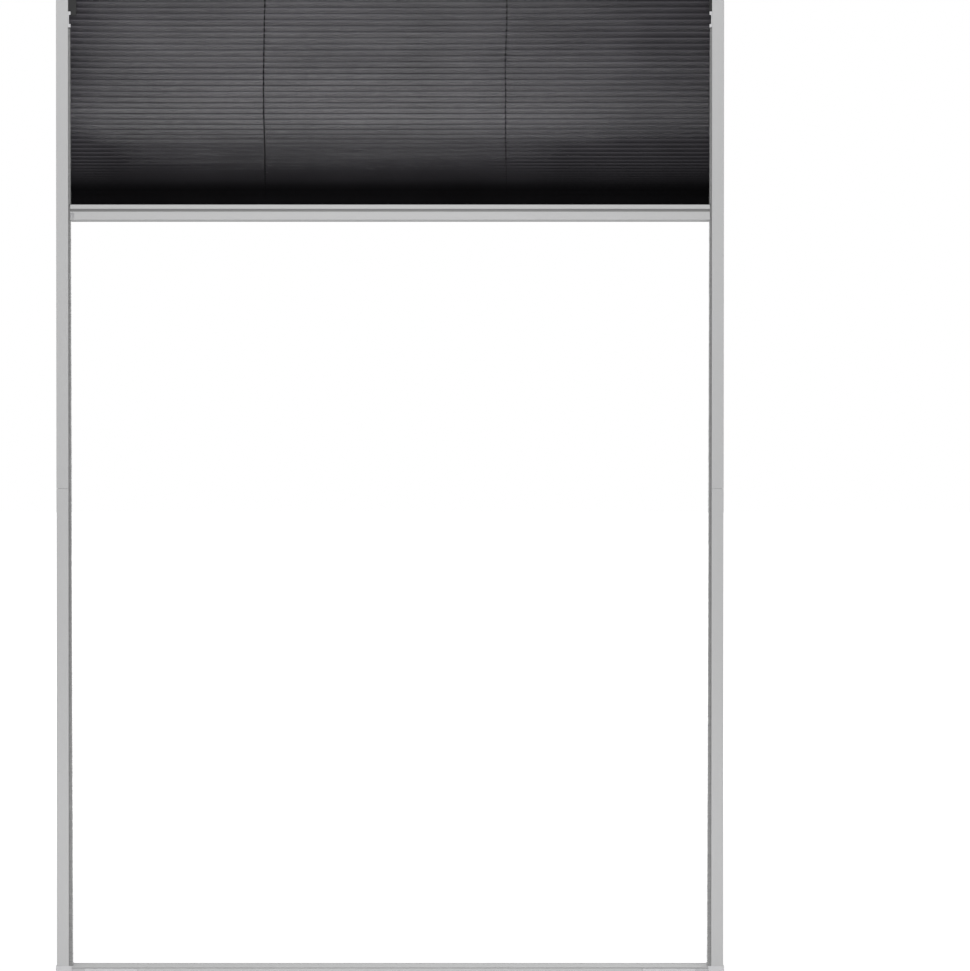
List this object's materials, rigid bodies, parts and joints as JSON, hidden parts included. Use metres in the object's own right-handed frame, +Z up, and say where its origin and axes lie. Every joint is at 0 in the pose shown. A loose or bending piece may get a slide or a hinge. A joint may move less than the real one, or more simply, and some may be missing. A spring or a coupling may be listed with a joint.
{
  "type": "pleated window screen",
  "caption": "Pleated insect screen in a metal window frame: the mesh hangs from the top rail and folds onto a pull bar that slides in channel rails, guided by taut cords.",
  "frame": {"origin": "centre of the frame's back face, the plane that lies against the window", "axes": "+X to the right seen from the front, +Y from the front to the back, +Z up"},
  "size_m": [0.8024, 0.0244, 1.2024],
  "materials": {
    "rail_coating": "extruded, with a satin light grey powder coat",
    "corner_plastic": "fine satin moulded plastic, light grey",
    "grey_plastic": "moulded plastic, mid grey",
    "black_plastic": "black moulded plastic",
    "brush_pile": "dense grey pile of fine bristles",
    "pleat_mesh": "black woven insect mesh",
    "guide_cord": "black braided cord",
    "joiner_metal": "bare mill finish",
    "screw_steel": "zinc plated steel"
  },
  "bodies": {
    "frame": {"top_rail": "rail_coating", "bottom_rail": "rail_coating", "left_rail_upper": "rail_coating", "left_rail_lower": "rail_coating", "right_rail_upper": "rail_coating", "right_rail_lower": "rail_coating", "left_rail_joiner": "joiner_metal", "right_rail_joiner": "joiner_metal", "corner_top_left": "corner_plastic", "corner_top_right": "corner_plastic", "corner_bottom_left": "corner_plastic", "corner_bottom_right": "corner_plastic", "corner_screws": "screw_steel", "seal_left_front": "brush_pile", "seal_left_rear": "brush_pile", "seal_right_front": "brush_pile", "seal_right_rear": "brush_pile", "seal_clip_left": "corner_plastic", "seal_clip_right": "corner_plastic", "head_clip_left": "black_plastic", "head_clip_right": "black_plastic", "mesh_head_strip": "black_plastic", "pleated_mesh": "pleat_mesh", "cord_anchor_left": "black_plastic", "cord_anchor_right": "black_plastic", "cord_left_upper": "guide_cord", "cord_right_upper": "guide_cord", "cord_left_lower": "guide_cord", "cord_right_lower": "guide_cord", "cord_left_tail": "guide_cord", "cord_right_tail": "guide_cord", "cord_tensioner_left": "grey_plastic", "cord_tensioner_right": "grey_plastic", "tensioner_cover_left": "corner_plastic", "tensioner_cover_right": "corner_plastic"},
    "pull_bar": {"pull_bar_profile": "rail_coating", "pull_bar_end_left": "grey_plastic", "pull_bar_end_right": "grey_plastic", "mesh_foot_strip": "black_plastic", "cord_eyelet_left": "black_plastic", "cord_eyelet_right": "black_plastic", "cord_left_bar": "guide_cord", "cord_right_bar": "guide_cord"}
  },
  "joints": [
    {"name": "pull_bar_slide", "type": "slide", "parent": "frame", "child": "pull_bar", "axis": [0, 0, 1], "range_m": [-0.8945, 0.2192], "deforming": ["pleated_mesh", "cord_left_upper", "cord_right_upper", "cord_left_lower", "cord_right_lower"]}
  ]
}
